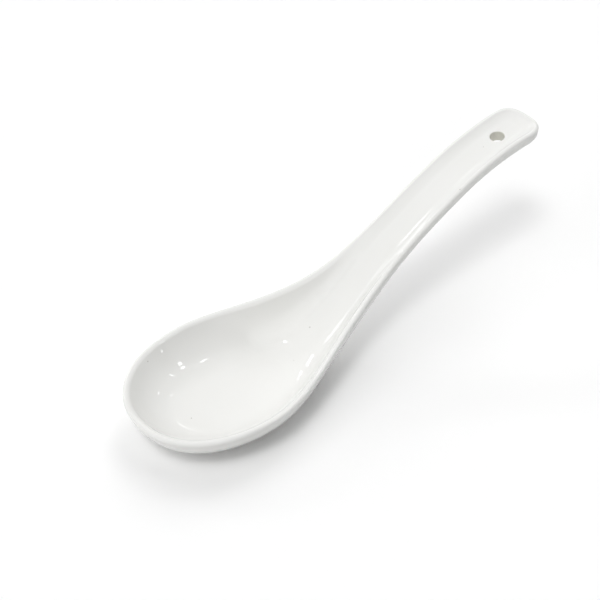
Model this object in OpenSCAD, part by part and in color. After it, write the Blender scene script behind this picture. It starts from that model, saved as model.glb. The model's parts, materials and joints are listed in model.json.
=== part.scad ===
// Porcelain soup spoon with a deep bowl, a flat foot and an arched handle.
// Millimetres. X runs from the front lip towards the handle, Y to the left, Z up.
// The origin is the centre of the foot, on the surface that the spoon stands on.
// All sizes are of the glazed spoon, so the fired body is one glaze thickness smaller.

/* [Outline seen from above] */
// From the middle of the foot to the front lip
front_reach = 31.1; // [26:0.1:38]
// From the middle of the foot to the end of the handle
handle_reach = 106.4; // [95:0.1:130]
// Widest place of the bowl, measured back from the front lip
widest_from_front = 28.5; // [24:0.1:30]
// Width of the bowl at its widest place
bowl_width = 45.1; // [38:0.1:50]
// Waist of the handle, measured from its end
waist_from_end = 21.4; // [16:0.1:30]
// Width of the handle at its waist
waist_width = 14.6; // [11:0.1:17]
// Width of the handle near its end
end_width = 15; // [11:0.1:18]
// Length of the rounding at the handle's end
end_rounding = 7; // [4:0.1:8]

/* [Height of the rim seen from the side] */
// Height of the front lip
front_height = 11.9; // [10:0.1:16]
// Slope of the rim at the front lip, in degrees
front_rise = 5; // [0:0.1:10]
// Place of the neck, measured from the middle of the foot
neck_x = 45.2; // [40:0.1:50]
// Height of the rim at the neck
neck_height = 24.8; // [20:0.1:30]
// Slope of the rim at the neck, in degrees
neck_rise = 30; // [20:0.1:38]
// Place where the handle starts to arch over, measured from the middle of the foot
arch_x = 77.5; // [70:0.1:84]
// Height of the rim where the handle starts to arch over
arch_height = 41.9; // [36:0.1:48]
// Slope of the rim where the handle starts to arch over, in degrees
arch_rise = 23.3; // [14:0.1:32]
// Height of the rim at the end of the handle
end_height = 47.9; // [42:0.1:56]
// Slope of the rim at the end of the handle, in degrees
end_rise = 1.8; // [-10:0.1:16]

/* [Inside] */
// Height of the bowl's flat floor above the table
floor_height = 3.8; // [3:0.1:5]
// Back end of the flat floor, measured from the middle of the foot
floor_end = 18.3; // [14:0.1:22]
// Slope at the back end of the floor, in degrees
floor_rise = 9; // [0:0.1:14]
// Radius of the floor's rounded back end
floor_turn = 9.5; // [7:0.1:14]
// Place where the bowl has turned into the handle, measured from the middle of the foot
handle_start = 56; // [52:0.1:64]
// Depth of the shallow trough along the handle
trough_depth = 1.2; // [0.6:0.05:1.4]
// Radius of the bowl's lip towards the inside
lip_radius = 1.6; // [1.2:0.05:1.8]
// Radius of the handle's edge towards the trough
edge_radius = 1.2; // [0.9:0.05:1.4]
// Radius of the lip's and the edge's tighter outer corner
corner_radius = 0.8; // [0.6:0.05:1.1]

/* [Underside] */
// How deep the round belly would reach below the table, had the foot not been ground flat
belly_drop = 0.7; // [0.4:0.05:1.2]
// Place where the belly starts to climb, measured from the middle of the foot
heel_x = 14.5; // [11:0.1:18]
// Radius of the heel's rounded back end
heel_turn = 12; // [9:0.1:16]
// Height of the bare edge that the wiped foot leaves
bare_edge = 0.5; // [0.3:0.05:0.8]
// Lean of the bowl's outer wall just below the lip, in degrees from upright
wall_lean = 12.5; // [5:0.5:20]
// Lean of the handle's side, in degrees from upright
side_lean = 0.5; // [0:0.5:8]
// Depth of the handle's sides, from the rim to the underside
handle_depth = 4.05; // [3.6:0.05:5]
// How much deeper the handle's underside is along its middle
handle_crown = 0.7; // [0:0.05:1.4]

/* [Hanging hole] */
// Radius of the hanging hole
hole_radius = 2; // [1.5:0.05:2.6]
// Middle of the hanging hole, measured from the end of the handle
hole_from_end = 11.6; // [9:0.1:16]

/* [Glaze] */
// Thickness of the glaze
glaze = 0.3; // [0.15:0.05:0.4]

/* [Smoothness] */
// Ribs along each side of the spoon
side_ribs = 50; // [30:1:54]
// Steps across the floor
floor_steps = 3; // [2:1:4]
// Steps down each wall
wall_steps = 6; // [5:1:8]
// Steps round the lip
lip_steps = 6; // [4:1:7]

/* [Hidden] */

// Roundness of the outlines: 2 is an ellipse, more is squarer
front_squareness = 2.18;
end_squareness = 2.83;
// Bend of the outline from the bowl's widest place into the waist
sweep_start = 1.8;
sweep_strength = 5.95;
// Parts of the half width that the bowl's flat floor, its belly and the handle's underside take
floor_share = 0.4;
belly_share = 0.22;
keel_share = 0.67;
// How much steeper the inner wall is at the lip than on average
wall_steepness = 2.3;
// Fullness of the curves down the inside, the outside and the handle's side: 0.55 is near a circle
inner_fullness = 0.62;
outer_fullness = 0.54;
side_fullness = 0.83;

widest_x = widest_from_front - front_reach;
waist_x = handle_reach - waist_from_end;
hole_x = handle_reach - hole_from_end;
half_bowl = bowl_width / 2;
half_waist = waist_width / 2;
half_end = end_width / 2;
all_ribs = 2 * side_ribs;
// Ribs fan out round both ends, from these places on the middle line
front_pole = half_bowl - front_reach;
end_pole = handle_reach - half_end;
// Cuts run past what they cut by this much
overrun = handle_depth;
// Step for slopes that are measured and not worked out
probe = glaze / 10;

// Plain helpers
function clamp01(v) = min(1, max(0, v));
function mix(a, b, t) = a + (b - a) * t;
function ease(t) = t * t * (3 - 2 * t);
function unit(v) = v / norm(v);
function ease_between(x, from, to) = ease(clamp01((x - from) / (to - from)));

// Cubic from one height and slope to the next, and its own slope
function span(x, a, b) =
    let (run = b.x - a.x, t = (x - a.x) / run)
    a.y * (2 * pow(t, 3) - 3 * pow(t, 2) + 1) + run * tan(a.z) * (pow(t, 3) - 2 * pow(t, 2) + t)
    + b.y * (3 * pow(t, 2) - 2 * pow(t, 3)) + run * tan(b.z) * (pow(t, 3) - pow(t, 2));
function span_slope(x, a, b) =
    let (run = b.x - a.x, t = (x - a.x) / run)
    (b.y - a.y) * 6 * t * (1 - t) / run
    + tan(a.z) * (3 * pow(t, 2) - 4 * t + 1) + tan(b.z) * (3 * pow(t, 2) - 2 * t);

// The rim from the side: place, height and slope in degrees of its four marks
front_mark = [-front_reach, front_height, front_rise];
neck_mark = [neck_x, neck_height, neck_rise];
arch_mark = [arch_x, arch_height, arch_rise];
end_mark = [handle_reach, end_height, end_rise];
function rim_height(x) =
    x < neck_x ? span(x, front_mark, neck_mark)
    : x < arch_x ? span(x, neck_mark, arch_mark)
    : span(x, arch_mark, end_mark);
function rim_slope(x) =
    x < neck_x ? span_slope(x, front_mark, neck_mark)
    : x < arch_x ? span_slope(x, neck_mark, arch_mark)
    : span_slope(x, arch_mark, end_mark);

// The middle line of the inside and of the underside
start_slope = atan(rim_slope(handle_start));
floor_mark = [floor_end, floor_height, floor_rise];
trough_mark = [handle_start, rim_height(handle_start) - trough_depth, start_slope];
heel_mark = [heel_x, -belly_drop, 0];
keel_mark = [handle_start, rim_height(handle_start) - handle_depth, start_slope];
function inside_line(x) =
    x <= floor_end ? floor_height
    : x < handle_start ? span(x, floor_mark, trough_mark)
    : rim_height(x) - trough_depth;
function under_line(x) =
    x <= heel_x ? -belly_drop
    : x < handle_start ? span(x, heel_mark, keel_mark)
    : rim_height(x) - handle_depth;
// Off the middle line the climb starts sooner, which rounds the back end of floor and foot
function bowl_share(x) = 1 - ease_between(x, floor_end, handle_start);
function under_middle(x) = under_line(x) - handle_crown * (1 - bowl_share(x));
function inside_at(p) = inside_line(p.x + p.y * p.y / (2 * floor_turn) * bowl_share(p.x));
function under_at(p) = under_line(p.x + p.y * p.y / (2 * heel_turn) * bowl_share(p.x));

// Half of the outline's width seen from above
function front_half(x) =
    half_bowl * pow(1 - pow(clamp01((widest_x - x) / widest_from_front), front_squareness), 1 / front_squareness);
function sweep_half(x) =
    half_waist + (half_bowl - half_waist)
    * pow(1 - pow(clamp01((x - widest_x) / (waist_x - widest_x)), sweep_start), sweep_strength)
    + (half_end - half_waist) * pow(clamp01((x - waist_x) / waist_from_end), 1.5);
function end_share(x) =
    pow(1 - pow(clamp01((x - handle_reach + end_rounding) / end_rounding), end_squareness), 1 / end_squareness);
function half_width(x) = x < widest_x ? front_half(x) : sweep_half(x) * end_share(x);

// Ribs run round the spoon: from the front lip (0) along +Y to the handle's end (side_ribs)
// and back along -Y. Each stands upright on a line from the outline to the middle line.
function fold(i) = min(i % all_ribs, all_ribs - i % all_ribs);
function side_of(i) = i % all_ribs <= side_ribs ? 1 : -1;
function rim_x(i) = mix(-front_reach, handle_reach, (1 - cos(180 * fold(i) / side_ribs)) / 2);
function rim_point(i) = [rim_x(i), side_of(i) * half_width(rim_x(i))];
function spine_x(i) = min(max(rim_x(i), front_pole), end_pole);

function bezier(a, b, c, d, t) =
    pow(1 - t, 3) * a + 3 * t * pow(1 - t, 2) * b + 3 * t * t * (1 - t) * c + pow(t, 3) * d;
function in_space(rim, inward, p) = [rim.x + inward.x * p.x, rim.y + inward.y * p.x, p.y];

// One rib of the fired body as points [distance in from the outline, height], placed in space:
// across the floor from the middle, up the inner wall, over the lip, down the outer wall
// and back to the middle underneath
function rib(i) =
    let (
        rim = rim_point(i),
        spine = [spine_x(i), 0],
        reach = norm(spine - rim),
        inward = (spine - rim) / reach,
        handle_share = 1 - bowl_share(rim.x),
        radius = mix(lip_radius, edge_radius, handle_share) - glaze,
        middle = corner_radius,
        crest_z = rim_height(rim.x) - glaze,
        lip_z = crest_z - radius,

        floor_d = reach * (1 - floor_share),
        floor_xy = rim + inward * floor_d,
        floor_z = inside_at(floor_xy) - glaze,
        floor_slope = (inside_at(floor_xy - inward * probe) - glaze - floor_z) / probe,
        turn_in = atan(wall_steepness * (lip_z + radius / 2 - floor_z) / (floor_d - middle - radius)),
        top = [middle + radius * sin(turn_in), lip_z + radius * cos(turn_in)],
        bend_d = (top.y - floor_z - floor_slope * (floor_d - top.x)) / (tan(turn_in) - floor_slope),
        bend = [top.x + bend_d, top.y - bend_d * tan(turn_in)],
        foot = [floor_d, floor_z],

        lean = mix(wall_lean, side_lean, handle_share),
        turn_out = 90 + lean,
        outer_radius = corner_radius - glaze,
        fullness = mix(outer_fullness, side_fullness, handle_share),
        under_d = reach * (1 - mix(belly_share, keel_share, handle_share)),
        under_xy = rim + inward * under_d,
        under_z = under_at(under_xy) + glaze,
        under_slope = (under_at(under_xy - inward * probe) + glaze - under_z) / probe,
        side = [middle - outer_radius * sin(turn_out), crest_z - outer_radius * (1 - cos(turn_out))],
        drop = (side.y - under_z - under_slope * (under_d - side.x)) / (cos(lean) - under_slope * sin(lean)),
        corner = side + drop * [sin(lean), -cos(lean)],
        belly = [under_d, under_z]
    )
    [
        for (s = [0:floor_steps - 1])
            let (d = mix(reach, floor_d, s / floor_steps))
            in_space(rim, inward, [d, inside_at(rim + inward * d) - glaze]),
        for (s = [0:wall_steps - 1])
            in_space(rim, inward, bezier(foot, mix(foot, bend, inner_fullness), mix(top, bend, inner_fullness),
                top, s / wall_steps)),
        for (s = [0:lip_steps])
            let (turn = mix(-turn_in, turn_out, s / lip_steps), r = turn < 0 ? radius : outer_radius)
            in_space(rim, inward, [middle - r * sin(turn), crest_z - r * (1 - cos(turn))]),
        for (s = [1:wall_steps])
            in_space(rim, inward, bezier(side, mix(side, corner, fullness), mix(belly, corner, fullness),
                belly, s / wall_steps)),
        for (s = [1:floor_steps])
            let (
                t = s / floor_steps,
                d = mix(under_d, reach, t),
                crown = handle_crown * handle_share * ease(t)
            )
            in_space(rim, inward, [d, under_at(rim + inward * d) - crown + glaze])
    ];

body_ribs = [for (i = [0:all_ribs - 1]) rib(i)];
last_row = 2 * floor_steps + 2 * wall_steps + lip_steps;

// Outward normals of the body's surface, which carry the glaze
function row_point(i, row) = body_ribs[(i + all_ribs) % all_ribs][row];
function line_slope(x, row) =
    row == 0 ? (inside_line(x + probe) - inside_line(x - probe)) / (2 * probe)
    : (under_middle(x + probe) - under_middle(x - probe)) / (2 * probe);
function normal(i, row) =
    row == 0 ? unit([-line_slope(spine_x(i), row), 0, 1])
    : row == last_row ? unit([line_slope(spine_x(i), row), 0, -1])
    : unit(cross(row_point(i + 1, row) - row_point(i - 1, row), row_point(i, row + 1) - row_point(i, row - 1)));
function coat_point(i, row) = row_point(i, row) + glaze * normal(i, row);

body_points = [for (row = [0:last_row]) for (i = [0:all_ribs - 1]) row_point(i, row)];
coat_points = [for (row = [0:last_row]) for (i = [0:all_ribs - 1]) coat_point(i, row)];

// Number of a point in those lists. On the middle line the two sides share their points,
// and so do the ribs of a fan.
function on_line(k) = rim_x(k) <= front_pole ? 0 : rim_x(k) >= end_pole ? side_ribs : k;
function at(i, row) =
    row * all_ribs + (row == 0 || row == last_row ? on_line(fold(i + all_ribs)) : (i + all_ribs) % all_ribs);
function quad(a, b, c, d) = [[a, b, c], [a, c, d]];
function flip(faces) = [for (f = faces) [f[2], f[1], f[0]]];
function shift(faces, by) = [for (f = faces) [f[0] + by, f[1] + by, f[2] + by]];
function between(i, row) = quad(at(i, row), at(i, row + 1), at(i + 1, row + 1), at(i + 1, row));
function sound(faces) = [for (f = faces) if (f[0] != f[1] && f[1] != f[2] && f[2] != f[0]) f];

all_faces = sound([for (row = [0:last_row - 1]) for (i = [0:all_ribs - 1]) each between(i, row)]);

// The coat is the same surface twice, one glaze thickness apart. Under the middle of the foot,
// where the plane cut takes it away, both are left open and joined round the opening.
open_ribs = len([for (k = [0:side_ribs]) if (spine_x(k) < heel_x) k]) - 1;
skin_faces = sound([
    for (row = [0:last_row - 1]) for (i = [-side_ribs:side_ribs - 1])
        if (row < last_row - 1 || i < -open_ribs || i >= open_ribs) each between(i, row)
]);
opening = [for (i = [-open_ribs:open_ribs]) at(i, last_row - 1), at(open_ribs, last_row)];
coat_shift = (last_row + 1) * all_ribs;
opening_faces = [
    for (k = [0:len(opening) - 1])
        let (a = opening[k], b = opening[(k + 1) % len(opening)])
        each quad(a, b, b + coat_shift, a + coat_shift)
];

module bare_body() {
    polyhedron(points = body_points, faces = all_faces);
}

module bare_coat() {
    polyhedron(
        points = concat(body_points, coat_points),
        faces = concat(shift(skin_faces, coat_shift), flip(skin_faces), opening_faces)
    );
}

// Everything below a height under the bowl
module below(height) {
    length = front_reach + heel_x + 2 * overrun + handle_depth;
    translate([-front_reach - overrun, -half_bowl, height - overrun])
        cube([length, bowl_width, overrun]);
}

// The hanging hole stands square to the handle there
module hole_cut() {
    middle_z = rim_height(hole_x) - (trough_depth + handle_depth + handle_crown) / 2;
    translate([hole_x, 0, middle_z])
        rotate([0, -atan(rim_slope(hole_x)), 0])
            cylinder(h = handle_depth + 2 * overrun, r = hole_radius, center = true, $fn = 48);
}

module porcelain_body() {
    color("whitesmoke") difference() {
        bare_body();
        below(0);
        hole_cut();
    }
}

module glaze_coat() {
    color("white") difference() {
        bare_coat();
        below(bare_edge);
        hole_cut();
    }
}

porcelain_body();
glaze_coat();
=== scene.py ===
import bpy
import json
import math
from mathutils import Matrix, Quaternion, Vector


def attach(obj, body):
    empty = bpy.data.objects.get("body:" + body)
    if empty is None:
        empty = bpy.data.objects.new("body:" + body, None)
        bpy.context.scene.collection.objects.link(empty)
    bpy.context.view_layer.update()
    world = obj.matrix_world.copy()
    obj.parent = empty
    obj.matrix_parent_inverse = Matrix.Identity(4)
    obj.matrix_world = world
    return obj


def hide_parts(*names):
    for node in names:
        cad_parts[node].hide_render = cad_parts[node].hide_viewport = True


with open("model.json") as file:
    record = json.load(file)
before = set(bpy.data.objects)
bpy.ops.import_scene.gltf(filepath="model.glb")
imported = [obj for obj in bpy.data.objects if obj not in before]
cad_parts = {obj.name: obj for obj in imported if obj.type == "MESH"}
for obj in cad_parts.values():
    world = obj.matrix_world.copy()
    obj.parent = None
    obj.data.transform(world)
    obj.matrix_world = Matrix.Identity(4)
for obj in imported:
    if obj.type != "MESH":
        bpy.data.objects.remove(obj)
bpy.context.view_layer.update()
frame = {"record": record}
scene = bpy.context.scene
mm = 0.001
print("frame loaded")


# Small helpers

def clamp01(value):
    return min(1, max(0, value))


def mix(a, b, share):
    return a + (b - a) * share


def easeBetween(x, start, end):
    t = clamp01((x - start) / (end - start))
    return t * t * (3 - 2 * t)


# sRGB hex to the linear values that Blender's sockets take
def linearColour(hexCode):
    channels = [int(hexCode[i:i + 2], 16) / 255 for i in (1, 3, 5)]
    return [c / 12.92 if c <= 0.04045 else ((c + 0.055) / 1.055) ** 2.4 for c in channels] + [1]


# Adds one node: its settings by name, its inputs by name or number, each a value, a node or a socket
def addNode(tree, kind, inputs=None, **settings):
    node = tree.nodes.new(kind)
    for name, value in settings.items():
        setattr(node, name, value)
    for key, value in (inputs or {}).items():
        if isinstance(value, bpy.types.Node):
            value = value.outputs[0]
        if isinstance(value, bpy.types.NodeSocket):
            tree.links.new(value, node.inputs[key])
        else:
            node.inputs[key].default_value = value
    return node


# A mix node has a pair of inputs and one output for each kind of value: number of its first input and
# of its output
mixSockets = {"FLOAT": (2, 0), "VECTOR": (4, 1), "RGBA": (6, 2)}


def addMix(tree, kind, share, first, second):
    place, result = mixSockets[kind]
    inputs = {"Factor": share, place: first, place + 1: second}
    return addNode(tree, "ShaderNodeMix", inputs, data_type=kind).outputs[result]


# Degrees round from +X and up from the table to a direction
def towards(turn, up):
    turn, up = math.radians(turn), math.radians(up)
    return Vector((math.cos(turn) * math.cos(up), math.sin(turn) * math.cos(up), math.sin(up)))


# Camera: the photograph looks down on the bowl from its front right, through a long lens
photoView = {
    "aim": (40.28, 21.19, 0),  # point of the table in the middle of the picture, mm
    "turn": 39.24,  # degrees, from square across the handle towards the bowl's front
    "down": 41.5,  # degrees below level
    "distance": 458.5,  # mm
    "lens": 94.3,  # mm
    "sensor": 36,  # mm
}


def addCamera(view):
    turn, down = math.radians(view["turn"]), math.radians(view["down"])
    back = Vector((-math.sin(turn) * math.cos(down), -math.cos(turn) * math.cos(down), math.sin(down)))
    data = bpy.data.cameras.new("photoCamera")
    data.lens = view["lens"]
    data.sensor_width = view["sensor"]
    camera = bpy.data.objects.new("photoCamera", data)
    camera.location = (Vector(view["aim"]) + back * view["distance"]) * mm
    camera.rotation_euler = (-back).to_track_quat("-Z", "Y").to_euler()
    scene.collection.objects.link(camera)
    scene.camera = camera


addCamera(photoView)
print("camera placed")


# The spoon's sizes in mm and degrees. Down to the bare edge they are the same as in the CAD source.
spoon = {
    "frontReach": 31.1,
    "handleReach": 106.4,
    "widestFromFront": 28.5,
    "bowlWidth": 45.1,
    "waistFromEnd": 21.4,
    "waistWidth": 14.6,
    "endWidth": 15,
    "endRounding": 7,
    "endFlare": 1.5,
    "frontSquareness": 2.18,
    "endSquareness": 2.83,
    "sweepStart": 1.8,
    "sweepStrength": 5.95,
    # The rim at four places: distance along the spoon, height and slope
    "rimMarks": ((-31.1, 11.9, 5), (45.2, 24.8, 30), (77.5, 41.9, 23.3), (106.4, 47.9, 1.8)),
    "floorHeight": 3.8,
    "floorEnd": 18.3,
    "floorRise": 9,
    "floorTurn": 9.5,
    "handleStart": 56,
    "troughDepth": 1.2,
    "lipRadius": 1.6,
    "edgeRadius": 1.2,
    "cornerRadius": 0.8,
    "bellyDrop": 0.7,
    "heel": 14.5,
    "heelTurn": 12,
    "wallLean": 12.5,
    "sideLean": 0.5,
    "handleDepth": 4.05,
    "handleCrown": 0.7,
    "floorShare": 0.4,
    "bellyShare": 0.22,
    "keelShare": 0.67,
    "wallSteepness": 2.3,
    "innerFullness": 0.62,
    "outerFullness": 0.54,
    "sideFullness": 0.83,
    "glaze": 0.3,
    "bareEdge": 0.5,
    "sideRibs": 180,  # along each side, from the bowl's front to the handle's end
    "fanStretch": 1.05,  # how far along the middle line the ribs fan out round each end
    "curves": 6,  # in one rib
    "curveSteps": 10,
    "mergeWithin": 0.001,
    "sharpFrom": 40,  # edges that bend more than this aren't shaded smooth
    "footSoftness": 0.3,  # rounding where the foot is ground flat
    "wipingBlock": (200, 200, 20),  # takes the glaze off the foot
    "waviness": 0.035,  # how far the poured glaze strays from its even thickness
    "waveLength": 16,
    "noiseSpread": 4,  # noise stays near its middle, and this spreads it out to about -1 to 1
    "holeEdge": 0.4,  # rounding where the glaze turns into the hole
    "holeEdgeKept": 0.97,  # share of that quarter round before it goes on as a slope
    "holeSlope": 4,  # out for each mm past the surface
    "holeSlopeLength": 0.3,
    "barSteps": 96,  # of the round bar that cuts the hole
    "barSides": 72,
}
widestX = spoon["widestFromFront"] - spoon["frontReach"]
waistX = spoon["handleReach"] - spoon["waistFromEnd"]
halfBowl, halfWaist, halfEnd = spoon["bowlWidth"] / 2, spoon["waistWidth"] / 2, spoon["endWidth"] / 2


# Cubic from one mark (place, height, slope in degrees) to the next
def span(x, a, b):
    run = b[0] - a[0]
    t = (x - a[0]) / run
    slopeA, slopeB = (run * math.tan(math.radians(mark[2])) for mark in (a, b))
    return (a[1] * (2 * t ** 3 - 3 * t ** 2 + 1) + slopeA * (t ** 3 - 2 * t ** 2 + t)
            + b[1] * (3 * t ** 2 - 2 * t ** 3) + slopeB * (t ** 3 - t ** 2))


def rimHeight(x):
    marks = spoon["rimMarks"]
    i = 0 if x < marks[1][0] else 1 if x < marks[2][0] else 2
    return span(x, marks[i], marks[i + 1])


def slopeOf(height, x, step=0.001):
    return (height(x + step) - height(x - step)) / (2 * step)


startX = spoon["handleStart"]
startSlope = math.degrees(math.atan(slopeOf(rimHeight, startX)))


# Middle line of the inside and of the underside
def insideLine(x):
    if x <= spoon["floorEnd"]:
        return spoon["floorHeight"]
    if x >= startX:
        return rimHeight(x) - spoon["troughDepth"]
    trough = (startX, rimHeight(startX) - spoon["troughDepth"], startSlope)
    return span(x, (spoon["floorEnd"], spoon["floorHeight"], spoon["floorRise"]), trough)


def underLine(x):
    if x <= spoon["heel"]:
        return -spoon["bellyDrop"]
    if x >= startX:
        return rimHeight(x) - spoon["handleDepth"]
    keel = (startX, rimHeight(startX) - spoon["handleDepth"], startSlope)
    return span(x, (spoon["heel"], -spoon["bellyDrop"], 0), keel)


def bowlShare(x):
    return 1 - easeBetween(x, spoon["floorEnd"], startX)


# Off the middle line the climb starts sooner, which rounds the back of the floor and of the foot
def insideAt(p):
    return insideLine(p.x + p.y ** 2 / (2 * spoon["floorTurn"]) * bowlShare(p.x))


def underAt(p):
    return underLine(p.x + p.y ** 2 / (2 * spoon["heelTurn"]) * bowlShare(p.x))


# Half of the width seen from above
def halfWidth(x):
    if x < widestX:
        power = spoon["frontSquareness"]
        return halfBowl * (1 - clamp01((widestX - x) / spoon["widestFromFront"]) ** power) ** (1 / power)
    sweep = clamp01((x - widestX) / (waistX - widestX))
    flare = clamp01((x - waistX) / spoon["waistFromEnd"])
    tip = clamp01((x - spoon["handleReach"] + spoon["endRounding"]) / spoon["endRounding"])
    width = (1 - sweep ** spoon["sweepStart"]) ** spoon["sweepStrength"]
    width = mix(halfWaist, halfBowl, width) + (halfEnd - halfWaist) * flare ** spoon["endFlare"]
    return width * (1 - tip ** spoon["endSquareness"]) ** (1 / spoon["endSquareness"])


# Control points in metres of one rib of the cast body. It is worked out as [distance in from the
# outline, height], as six cubic curves joined end to end: floor, inner wall, the lip's inner and outer
# half, outer wall and belly. Names that end in D are such distances.
def ribControls(i):
    ribs = spoon["sideRibs"]
    fold = min(i, 2 * ribs - i)
    x = mix(-spoon["frontReach"], spoon["handleReach"], (1 - math.cos(math.pi * fold / ribs)) / 2)
    rim = Vector((x, halfWidth(x) if i <= ribs else -halfWidth(x)))
    fromFront, fromEnd = x + spoon["frontReach"], spoon["handleReach"] - x
    spineX = x + halfBowl * math.exp(-fromFront / (halfBowl * spoon["fanStretch"]))
    spineX -= halfEnd * math.exp(-fromEnd / (halfEnd * spoon["fanStretch"]))
    reach = (Vector((spineX, 0)) - rim).length
    inward = (Vector((spineX, 0)) - rim) / reach
    glaze = spoon["glaze"]
    handleShare = 1 - bowlShare(x)
    radius = mix(spoon["lipRadius"], spoon["edgeRadius"], handleShare) - glaze
    outerRadius = spoon["cornerRadius"] - glaze
    middle = spoon["cornerRadius"]
    crest = rimHeight(x) - glaze
    lipHeight = crest - radius

    # A strip of floor or belly as one cubic, outward from distance a to distance b, and its last slope
    def strip(heightAt, lift, a, b):
        riseA, riseB = (-slopeOf(lambda d: heightAt(rim + inward * d), d) for d in (a, b))
        third = (a - b) / 3
        start, end = (Vector((d, heightAt(rim + inward * d) + lift)) for d in (a, b))
        startPull, endPull = Vector((-third, riseA * third)), Vector((third, -riseB * third))
        return start, start + startPull, end + endPull, end, riseB

    # A round of the lip from one turn to another, in radians from upright and outwards
    def arc(radius, a, b):
        pull = 4 / 3 * math.tan((b - a) / 4)
        at = [Vector((middle - radius * math.sin(t), crest - radius * (1 - math.cos(t)))) for t in (a, b)]
        along = [Vector((-math.cos(t), -math.sin(t))) * radius * pull for t in (a, b)]
        return [at[0], at[0] + along[0], at[1] - along[1], at[1]]

    floorD = reach * (1 - spoon["floorShare"])
    floor = strip(insideAt, -glaze, reach, floorD)
    wallFoot, floorSlope = floor[3], floor[4]
    wallHeight = lipHeight + radius / 2 - wallFoot.y
    turnIn = math.atan(spoon["wallSteepness"] * wallHeight / (floorD - middle - radius))
    lean = math.radians(mix(spoon["wallLean"], spoon["sideLean"], handleShare))
    lipIn, lipOut = arc(radius, -turnIn, 0), arc(outerRadius, 0, math.pi / 2 + lean)

    top = lipIn[0]
    bendD = (top.y - wallFoot.y - floorSlope * (floorD - top.x)) / (math.tan(turnIn) - floorSlope)
    bend = Vector((top.x + bendD, top.y - bendD * math.tan(turnIn)))
    fullness = spoon["innerFullness"]
    wall = [wallFoot, wallFoot.lerp(bend, fullness), top.lerp(bend, fullness), top]

    bellyD = reach * (1 - mix(spoon["bellyShare"], spoon["keelShare"], handleShare))
    fullness = mix(spoon["outerFullness"], spoon["sideFullness"], handleShare)
    belly = strip(underAt, glaze, reach, bellyD)
    for point in belly[:2]:
        point.y -= spoon["handleCrown"] * handleShare
    edge, side = belly[3], lipOut[3]
    drop = (side.y - edge.y - belly[4] * (bellyD - side.x)) / (math.cos(lean) - belly[4] * math.sin(lean))
    corner = side + drop * Vector((math.sin(lean), -math.cos(lean)))
    outer = [side, side.lerp(corner, fullness), edge.lerp(corner, fullness), edge]

    points = [*floor[:3], *wall[:3], *lipIn[:3], *lipOut[:3], *outer[:3], *belly[3::-1]]
    return [((rim + inward * p.x).to_3d() + Vector((0, 0, p.y))) * mm for p in points]


# Guide lines round the spoon, one for each control point of a rib
def makeGuides():
    ribs = [ribControls(i) for i in range(2 * spoon["sideRibs"])]
    mesh = bpy.data.meshes.new("spoonGuides")
    mesh.from_pydata([rib[line] for line in range(len(ribs[0])) for rib in ribs], [], [])
    guides = bpy.data.objects.new("spoonGuides", mesh)
    scene.collection.objects.link(guides)
    return guides


# What the trees ask for, as [name, socket type]
loftInputs = [
    ["Guides", "NodeSocketGeometry"],
    ["Ribs", "NodeSocketInt"],
    ["Steps", "NodeSocketInt"],
    ["Curves", "NodeSocketInt"],
]
pieceInputs = [
    *loftInputs,
    ["Glaze", "NodeSocketFloat"],
    ["Waviness", "NodeSocketFloat"],
    ["Waves per metre", "NodeSocketFloat"],
    ["Bare edge", "NodeSocketFloat"],
    ["Foot softness", "NodeSocketFloat"],
    ["Hole start", "NodeSocketVector"],
    ["Hole end", "NodeSocketVector"],
    ["Hole radius", "NodeSocketFloat"],
    ["Hole wall", "NodeSocketFloat"],
    ["Hole edge", "NodeSocketFloat"],
    ["Material", "NodeSocketMaterial"],
]


def startTree(name, inputs):
    tree = bpy.data.node_groups.new(name, "GeometryNodeTree")
    for label, kind in inputs:
        tree.interface.new_socket(label, in_out="INPUT", socket_type=kind)
    tree.interface.new_socket("Geometry", in_out="OUTPUT", socket_type="NodeSocketGeometry")
    return tree, addNode(tree, "NodeGroupInput").outputs


# Geometry Nodes: the guide lines lofted into the closed surface of the cast body
def makeLoftTree():
    tree, given = startTree("spoonLoft", loftInputs)

    def whole(operation, a, b):
        return addNode(tree, "FunctionNodeIntegerMath", {0: a, 1: b}, operation=operation)

    def number(operation, a, b):
        return addNode(tree, "ShaderNodeMath", {0: a, 1: b}, operation=operation)

    rows = whole("ADD", whole("MULTIPLY", given["Curves"], given["Steps"]), 1)
    columns = whole("ADD", given["Ribs"], 1)
    grid = addNode(tree, "GeometryNodeMeshGrid", {"Vertices X": columns, "Vertices Y": rows})
    index = addNode(tree, "GeometryNodeInputIndex")
    row = whole("MODULO", index, rows)
    column = whole("MODULO", whole("DIVIDE", index, rows), given["Ribs"])
    lastCurve = whole("SUBTRACT", given["Curves"], 1)
    curve = whole("MINIMUM", whole("DIVIDE", row, given["Steps"]), lastCurve)
    along = number("SUBTRACT", number("DIVIDE", row, given["Steps"]), curve)

    # Each point of the grid lies on one cubic curve, whose four control points are mixed in pairs
    # until one place is left
    position = addNode(tree, "GeometryNodeInputPosition")
    points = []
    for i in range(4):
        line = whole("ADD", whole("MULTIPLY", curve, 3), i)
        place = whole("ADD", whole("MULTIPLY", line, given["Ribs"]), column)
        points.append(addNode(tree, "GeometryNodeSampleIndex",
                              {"Geometry": given["Guides"], "Value": position, "Index": place},
                              data_type="FLOAT_VECTOR", domain="POINT"))
    while len(points) > 1:
        points = [addMix(tree, "VECTOR", along, a, b) for a, b in zip(points, points[1:])]
    lofted = addNode(tree, "GeometryNodeSetPosition", {"Geometry": grid, "Position": points[0]})
    closed = addNode(tree, "GeometryNodeMergeByDistance",
                     {"Geometry": lofted, "Distance": spoon["mergeWithin"] * mm})
    addNode(tree, "NodeGroupOutput", {"Geometry": closed})
    return tree


def cutAway(tree, mesh, cutter):
    return addNode(tree, "GeometryNodeMeshBoolean", {0: mesh, 1: cutter}, operation="DIFFERENCE",
                   solver="MANIFOLD")


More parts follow.
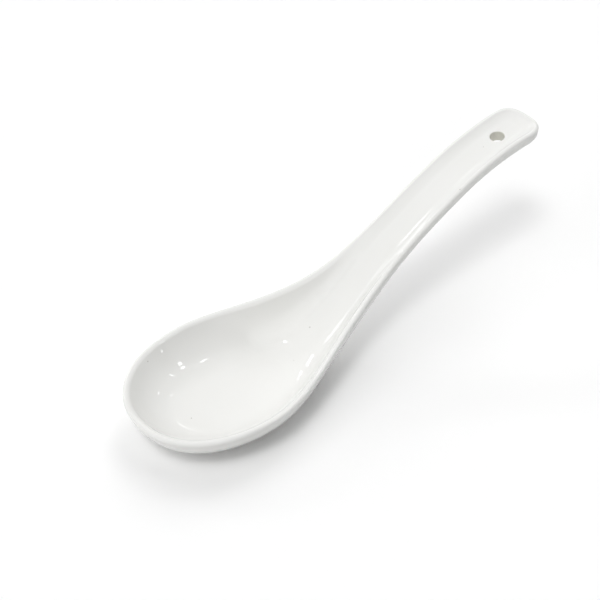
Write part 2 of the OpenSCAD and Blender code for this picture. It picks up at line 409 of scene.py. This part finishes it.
# A round bar along the hole, with its radius given at each point
def addBar(tree, given, radius):
    line = addNode(tree, "GeometryNodeCurvePrimitiveLine",
                   {"Start": given["Hole start"], "End": given["Hole end"]})
    points = addNode(tree, "GeometryNodeResampleCurve", {"Curve": line, "Count": spoon["barSteps"]})
    circle = addNode(tree, "GeometryNodeCurvePrimitiveCircle",
                     {"Resolution": spoon["barSides"], "Radius": 1})
    return addNode(tree, "GeometryNodeCurveToMesh",
                   {"Curve": points, "Profile Curve": circle, "Scale": radius, "Fill Caps": True})


# The undrilled surface, and the drilled casting with its foot ground flat. The casting's hole is one
# glaze wider, so that the glaze lines it.
def addCasting(tree, given):
    loft = addNode(tree, "GeometryNodeGroup", node_tree=loftTree)
    for label, kind in loftInputs:
        tree.links.new(given[label], loft.inputs[label])
    place = addNode(tree, "ShaderNodeSeparateXYZ", {0: addNode(tree, "GeometryNodeInputPosition")})
    flat = addNode(tree, "ShaderNodeMath", {0: place.outputs[2], 1: 0, 2: given["Foot softness"]},
                   operation="SMOOTH_MAX")
    flatPlace = addNode(tree, "ShaderNodeCombineXYZ", {0: place.outputs[0], 1: place.outputs[1], 2: flat})
    ground = addNode(tree, "GeometryNodeSetPosition", {"Geometry": loft, "Position": flatPlace})
    wide = addNode(tree, "ShaderNodeMath", {0: given["Hole radius"], 1: given["Glaze"]}, operation="ADD")
    return loft, cutAway(tree, ground, addBar(tree, given, wide))


# Smooth shading, except along the cut edges
def finishTree(tree, given, mesh):
    smooth = addNode(tree, "GeometryNodeSetShadeSmooth", {"Geometry": mesh, "Shade Smooth": True},
                     domain="FACE")
    angle = addNode(tree, "GeometryNodeInputMeshEdgeAngle")
    steep = addNode(tree, "FunctionNodeCompare", {0: angle, 1: math.radians(spoon["sharpFrom"])},
                    operation="GREATER_THAN")
    sharp = addNode(tree, "GeometryNodeSetShadeSmooth",
                    {"Geometry": smooth, "Selection": steep, "Shade Smooth": False}, domain="EDGE")
    real = addNode(tree, "GeometryNodeRealizeInstances", {0: sharp})
    painted = addNode(tree, "GeometryNodeSetMaterial", {"Geometry": real, "Material": given["Material"]})
    addNode(tree, "NodeGroupOutput", {0: painted})


def makeCastingTree():
    tree, given = startTree("castPorcelain", pieceInputs)
    finishTree(tree, given, addCasting(tree, given)[1])
    return tree


def makeGlazeTree():
    tree, given = startTree("pouredGlaze", pieceInputs)
    loft, casting = addCasting(tree, given)

    def number(operation, *values):
        return addNode(tree, "ShaderNodeMath", dict(enumerate(values)), operation=operation)

    # The glaze lies on the casting with a thickness that wanders a little
    noise = addNode(tree, "ShaderNodeTexNoise", {"Scale": given["Waves per metre"], "Detail": 1})
    spread = number("MULTIPLY_ADD", noise, spoon["noiseSpread"], -spoon["noiseSpread"] / 2)
    stray = number("MULTIPLY", spread, given["Waviness"])
    offset = addNode(tree, "ShaderNodeVectorMath", {0: addNode(tree, "GeometryNodeInputNormal"),
                     "Scale": number("ADD", given["Glaze"], stray)}, operation="SCALE")
    poured = addNode(tree, "GeometryNodeSetPosition", {"Geometry": loft, "Offset": offset})

    # The hole flares into the surfaces that it meets: a quarter round, then a slope past the surface
    along = addNode(tree, "GeometryNodeSplineParameter").outputs["Length"]
    length = addNode(tree, "ShaderNodeVectorMath", {0: given["Hole start"], 1: given["Hole end"]},
                     operation="DISTANCE").outputs["Value"]
    fromMiddle = number("ABSOLUTE", number("SUBTRACT", along, number("MULTIPLY", length, 0.5)))
    toSurface = number("SUBTRACT", fromMiddle, number("MULTIPLY", given["Hole wall"], 0.5))
    share = number("DIVIDE", number("ADD", toSurface, given["Hole edge"]), given["Hole edge"])
    kept = number("MINIMUM", number("MAXIMUM", share, 0), spoon["holeEdgeKept"])
    rounded = number("SUBTRACT", 1, number("SQRT", number("SUBTRACT", 1, number("MULTIPLY", kept, kept))))
    flared = number("MULTIPLY_ADD", rounded, given["Hole edge"], given["Hole radius"])
    past = number("MINIMUM", number("MAXIMUM", toSurface, 0), spoon["holeSlopeLength"] * mm)
    radius = number("ADD", flared, number("MULTIPLY", past, spoon["holeSlope"]))
    opened = cutAway(tree, poured, addBar(tree, given, radius))
    coat = cutAway(tree, opened, casting)

    # Wiped off the foot before firing, up to the bare edge
    size = Vector(spoon["wipingBlock"]) * mm
    block = addNode(tree, "GeometryNodeMeshCube", {"Size": size})
    middle = addNode(tree, "ShaderNodeCombineXYZ", {2: number("SUBTRACT", given["Bare edge"], size.z / 2)})
    block = addNode(tree, "GeometryNodeTransform", {"Geometry": block, "Translation": middle})
    finishTree(tree, given, cutAway(tree, coat, block))
    return tree


# Materials

def startMaterial(name):
    material = bpy.data.materials.new(name)
    material.use_nodes = True
    material.node_tree.nodes.clear()
    return material, material.node_tree


# Noise whose patches are about as wide as the given size in mm
def addPattern(tree, place, size, detail):
    scale = 1 / (size * mm)
    return addNode(tree, "ShaderNodeTexNoise", {"Vector": place, "Scale": scale, "Detail": detail})


def finishMaterial(tree, look, colour, height):
    bump = addNode(tree, "ShaderNodeBump", {"Height": height, "Strength": look["bumpStrength"],
                   "Distance": look["bumpDepth"] * mm})
    shader = addNode(tree, "ShaderNodeBsdfPrincipled", {"Base Color": colour, "Normal": bump,
                     "Roughness": look["roughness"], "IOR": look["ior"]})
    addNode(tree, "ShaderNodeOutputMaterial", {"Surface": shader})


# Slip-cast hard porcelain under clear glaze: a clean, glassy white that mirrors lamps, a little greyer
# where the glaze lies thick, with a rare iron speck from the clay and painted shade on the hanging hole's
# wall
def makeGlazedPorcelain():
    # Lengths in mm
    look = {
        "thick": "#EAEAE7",
        "thin": "#EFEFED",
        "clouding": 22,
        "speck": "#6B6455",
        "speckSpacing": 5,
        "speckSize": 0.12,
        "speckShare": 0.4,  # of the cells
        "speckStrength": 0.45,
        # Painted shade on the hanging hole's wall: its colour, and where it fades out from the hole's
        # middle line
        "holeShade": "#D6D5CC",
        "holeShadeFrom": 2.25,  # from the hole's middle line
        "holeShadeTo": 2.05,
        "peel": 1.6,
        "bumpStrength": 0.06,
        "bumpDepth": 0.02,
        "roughness": 0.015,
        "ior": 1.5,
    }
    material, tree = startMaterial("glazedPorcelain")
    place = addNode(tree, "ShaderNodeTexCoord").outputs["Object"]
    clouds = addPattern(tree, place, look["clouding"], 2)
    white = addMix(tree, "RGBA", clouds, linearColour(look["thick"]), linearColour(look["thin"]))

    # Some of the cells hold a speck with a soft edge
    scale = 1 / (look["speckSpacing"] * mm)
    cells = addNode(tree, "ShaderNodeTexVoronoi", {"Vector": place, "Scale": scale})
    chosen = addNode(tree, "ShaderNodeMath", {0: cells.outputs["Color"], 1: 1 - look["speckShare"]},
                     operation="GREATER_THAN")
    size = look["speckSize"] / look["speckSpacing"]
    dot = addNode(tree, "ShaderNodeMapRange", {"Value": cells.outputs["Distance"], "From Min": size,
                  "From Max": size * 2, "To Min": look["speckStrength"], "To Max": 0})
    speck = addNode(tree, "ShaderNodeMath", {0: dot, 1: chosen}, operation="MULTIPLY")
    specked = addMix(tree, "RGBA", speck, white, linearColour(look["speck"]))

    # Painted shade on the hanging hole's wall, where little light gets in: near the hole's middle line the
    # glaze is coloured darker
    fromCentre = addNode(tree, "ShaderNodeVectorMath", {0: place, 1: holeCentre}, operation="SUBTRACT")
    offAxis = addNode(tree, "ShaderNodeVectorMath", {0: fromCentre, 1: holeAxis}, operation="CROSS_PRODUCT")
    fromAxis = addNode(tree, "ShaderNodeVectorMath", {0: offAxis}, operation="LENGTH").outputs["Value"]
    holeShadeShare = addNode(tree, "ShaderNodeMapRange", {"Value": fromAxis, "From Min": look["holeShadeTo"] * mm,
                     "From Max": look["holeShadeFrom"] * mm, "To Min": 1, "To Max": 0})
    colour = addMix(tree, "RGBA", holeShadeShare, specked, linearColour(look["holeShade"]))
    finishMaterial(tree, look, colour, addPattern(tree, place, look["peel"], 0))
    return material


# Fired porcelain without glaze, ground flat: dull, dry and a little warmer, with a fine sandy grain
def makeBarePorcelain():
    # Lengths in mm
    look = {
        "clean": "#E8E4DB",
        "worn": "#DAD4C8",
        "stain": 7,
        "grain": 0.35,
        "bumpStrength": 0.5,
        "bumpDepth": 0.06,
        "roughness": 0.82,
        "ior": 1.5,
    }
    material, tree = startMaterial("barePorcelain")
    place = addNode(tree, "ShaderNodeTexCoord").outputs["Object"]
    stain = addPattern(tree, place, look["stain"], 4)
    colour = addMix(tree, "RGBA", stain, linearColour(look["clean"]), linearColour(look["worn"]))
    finishMaterial(tree, look, colour, addPattern(tree, place, look["grain"], 3))
    return material


# Pieces

guides = makeGuides()
loftTree = makeLoftTree()

# The hanging hole is the frame's only bore, and its wall reaches from the trough to the underside
hole = next(mount for mount in frame["record"]["mounts"] if mount["kind"] == "bore")
holeMiddle, holeAxis = Vector(hole["pos_m"]), Vector(hole["axis"]).normalized()
holeTop = rimHeight(holeMiddle.x / mm) - spoon["troughDepth"]
holeFoot = rimHeight(holeMiddle.x / mm) - spoon["handleDepth"] - spoon["handleCrown"]
holeWall = (holeTop - holeFoot) * holeAxis.z * mm
holeCentre = Vector((holeMiddle.x, 0, (holeTop + holeFoot) / 2 * mm))
barReach = holeAxis * spoon["handleDepth"] * mm

sizes = {
    "Ribs": 2 * spoon["sideRibs"],
    "Steps": spoon["curveSteps"],
    "Curves": spoon["curves"],
    "Glaze": spoon["glaze"] * mm,
    "Waviness": spoon["waviness"] * mm,
    "Waves per metre": 1000 / spoon["waveLength"],
    "Bare edge": spoon["bareEdge"] * mm,
    "Foot softness": spoon["footSoftness"] * mm,
    "Hole start": holeCentre - barReach,
    "Hole end": holeCentre + barReach,
    "Hole radius": hole["dims"]["r_mm"] * mm,
    "Hole wall": holeWall,
    "Hole edge": spoon["holeEdge"] * mm,
}


def makePiece(name, tree, material, node):
    modifier = guides.modifiers.new(name, "NODES")
    modifier.node_group = tree
    sockets = {item.name: item.identifier for item in tree.interface.items_tree if item.in_out == "INPUT"}
    for label, value in sizes.items():
        modifier[sockets[label]] = value
    modifier[sockets["Material"]] = material
    evaluated = guides.evaluated_get(bpy.context.evaluated_depsgraph_get())
    mesh = bpy.data.meshes.new_from_object(evaluated)
    guides.modifiers.remove(modifier)
    mesh.name = name
    piece = bpy.data.objects.new(name, mesh)
    scene.collection.objects.link(piece)
    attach(piece, "root")
    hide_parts(node)
    print(name, "made with", len(mesh.polygons), "faces")


makePiece("castPorcelainBody", makeCastingTree(), makeBarePorcelain(), "porcelain_body")
makePiece("pouredGlazeCoat", makeGlazeTree(), makeGlazedPorcelain(), "glaze_coat")
bpy.data.objects.remove(guides)


# Stage: a white table in a pale room. Directions are degrees round from +X and degrees up.
room = {
    "table": 4,  # m
    "tableGap": 0.02,  # mm below the foot
    "white": "#FEFEFE",
    "tableBounce": "#E8E8E8",  # what the table throws back up at the spoon
    "sides": [[141, 0, 0.53], [-129, 0, 0.165]],  # direction and strength of wide light from a side
    "mirrored": 0.85,  # how bright the glaze mirrors the room
    # Darker and brighter parts that only the glaze sees: direction, degrees across, degrees over which
    # the edge fades, and how much brighter
    "mirroredParts": [[-72, 28, 56, 12, -0.6], [-140, 33, 60, 14, 0.9]],
}
# Soft light from above that isn't mirrored: direction, degrees across and share of the light on the table
softLights = {
    "above": [0, 90, 40, 0.015],
    "key": [-150, 62, 15, 0.215],
    "keyGlow": [-165, 70, 22, 0.075],
    "right": [-9, 62, 40, 0.075],
    "far": [51, 62, 40, 0.105],
    "farMiddle": [26, 43, 34, 0.12],
    "farLow": [51, 20, 40, 0.035],
    "rightLow": [11, 20, 40, 0.02],
    "nearLow": [-129, 32, 40, 0.06],
    "leftLow": [171, 32, 40, 0.075],
}
# Windows and lamps that the glaze mirrors as small marks: direction, degrees wide, high and tilted,
# brightness against the table and, for the one near the spoon, its distance in m
panes = {
    "windowLow": [-46.3, 43.8, 2, 5, -34, 9],
    "windowHigh": [-39.3, 50.3, 2, 4.5, -34, 9],
    "skylight": [-41, 60, 5, 1.2, 0, 12],
    "windowFrame": [-30.5, 46, 0.8, 7, -27, 7],
    "lampFront": [-7.5, 37.3, 4, 1.6, 0, 6],
    "lampLow": [-13, 17, 1.5, 2.5, 0, 7],
    "dotA": [17, 53, 1.6, 1.6, 0, 7],
    "dotB": [27, 50, 1.6, 1.6, 0, 7],
    "lipLamp": [-50.5, 17, 2, 1, 0, 7],
    "backLamp": [92, 78.1, 4, 1.6, 68, 12, 0.083],
    "farLamp": [50.5, 38.5, 6, 1.8, 0, 4],
    "farWindowLeft": [97, 33, 8, 5, 0, 5],
    "farWindowRight": [80, 37, 10, 4, 0, 4],
    "farSill": [92, 13, 16, 7, 0, 1.5],
    "neckWindow": [112, 25, 10, 6, 0, 2.5],
}


def addTable():
    bpy.ops.mesh.primitive_plane_add(size=room["table"], location=(0, 0, -room["tableGap"] * mm))
    table = bpy.context.object
    table.name = "table"
    material, tree = startMaterial("whiteTable")
    path = addNode(tree, "ShaderNodeLightPath").outputs
    seen = addNode(tree, "ShaderNodeMath", {0: path["Is Camera Ray"], 1: path["Is Glossy Ray"]},
                   operation="MAXIMUM")
    colour = addMix(tree, "RGBA", seen, linearColour(room["tableBounce"]), linearColour(room["white"]))
    shader = addNode(tree, "ShaderNodeBsdfDiffuse", {"Color": colour})
    addNode(tree, "ShaderNodeOutputMaterial", {"Surface": shader})
    table.data.materials.append(material)


def addRoom():
    world = bpy.data.worlds.new("paleRoom")
    scene.world = world
    world.use_nodes = True
    tree = world.node_tree
    tree.nodes.clear()
    path = addNode(tree, "ShaderNodeLightPath").outputs
    way = addNode(tree, "ShaderNodeTexCoord").outputs["Generated"]

    # The cosine of the angle between the way looked and a direction
    def nearness(turn, up):
        return addNode(tree, "ShaderNodeVectorMath", {0: way, 1: towards(turn, up)},
                       operation="DOT_PRODUCT").outputs["Value"]

    lit = 0
    for turn, up, strength in room["sides"]:
        part = addNode(tree, "ShaderNodeMath", {0: nearness(turn, up), 1: 0}, operation="MAXIMUM")
        lit = addNode(tree, "ShaderNodeMath", {0: part, 1: strength, 2: lit}, operation="MULTIPLY_ADD")
    mirrored = room["mirrored"]
    for turn, up, across, soft, change in room["mirroredParts"]:
        outer, inner = (math.cos(math.radians((across + side * soft) / 2)) for side in (1, -1))
        part = addNode(tree, "ShaderNodeMapRange", {"Value": nearness(turn, up), "From Min": outer,
                       "From Max": inner}, interpolation_type="SMOOTHSTEP")
        mirrored = addNode(tree, "ShaderNodeMath", {0: part, 1: change, 2: mirrored},
                           operation="MULTIPLY_ADD")

    # The glaze mirrors the room, the camera sees it white, and everything is lit from its sides
    unseen = addMix(tree, "FLOAT", path["Is Glossy Ray"], lit, mirrored)
    shown = addMix(tree, "FLOAT", path["Is Camera Ray"], unseen, 1)
    white = linearColour(room["white"])
    sky = addNode(tree, "ShaderNodeBackground", {"Color": white, "Strength": shown})
    addNode(tree, "ShaderNodeOutputWorld", {"Surface": sky})


def addSoftLight(name, turn, up, across, share):
    data = bpy.data.lights.new(name, "SUN")
    data.angle = math.radians(across)
    data.energy = share * math.pi / math.sin(math.radians(up))
    light = bpy.data.objects.new(name, data)
    light.rotation_euler = towards(turn, up).to_track_quat("Z", "Y").to_euler()
    light.visible_glossy = False
    scene.collection.objects.link(light)


# An area lamp's brightness is its power over four times its area
def addPane(name, turn, up, wide, high, tilt, brightness, distance=10):
    data = bpy.data.lights.new(name, "AREA")
    data.shape = "RECTANGLE"
    data.size, data.size_y = (2 * distance * math.tan(math.radians(angle) / 2) for angle in (wide, high))
    data.energy = 4 * brightness * data.size * data.size_y
    light = bpy.data.objects.new(name, data)
    light.location = towards(turn, up) * distance
    facing = towards(turn, up).to_track_quat("Z", "Y") @ Quaternion((0, 0, 1), math.radians(tilt))
    light.rotation_euler = facing.to_euler()
    light.visible_camera = False  # the near one hangs in the picture
    scene.collection.objects.link(light)


addTable()
addRoom()
for name, (turn, up, across, share) in softLights.items():
    addSoftLight(name, turn, up, across, share)
for name, values in panes.items():
    addPane(name, *values)
scene.view_settings.view_transform = "Standard"
print("stage lit")
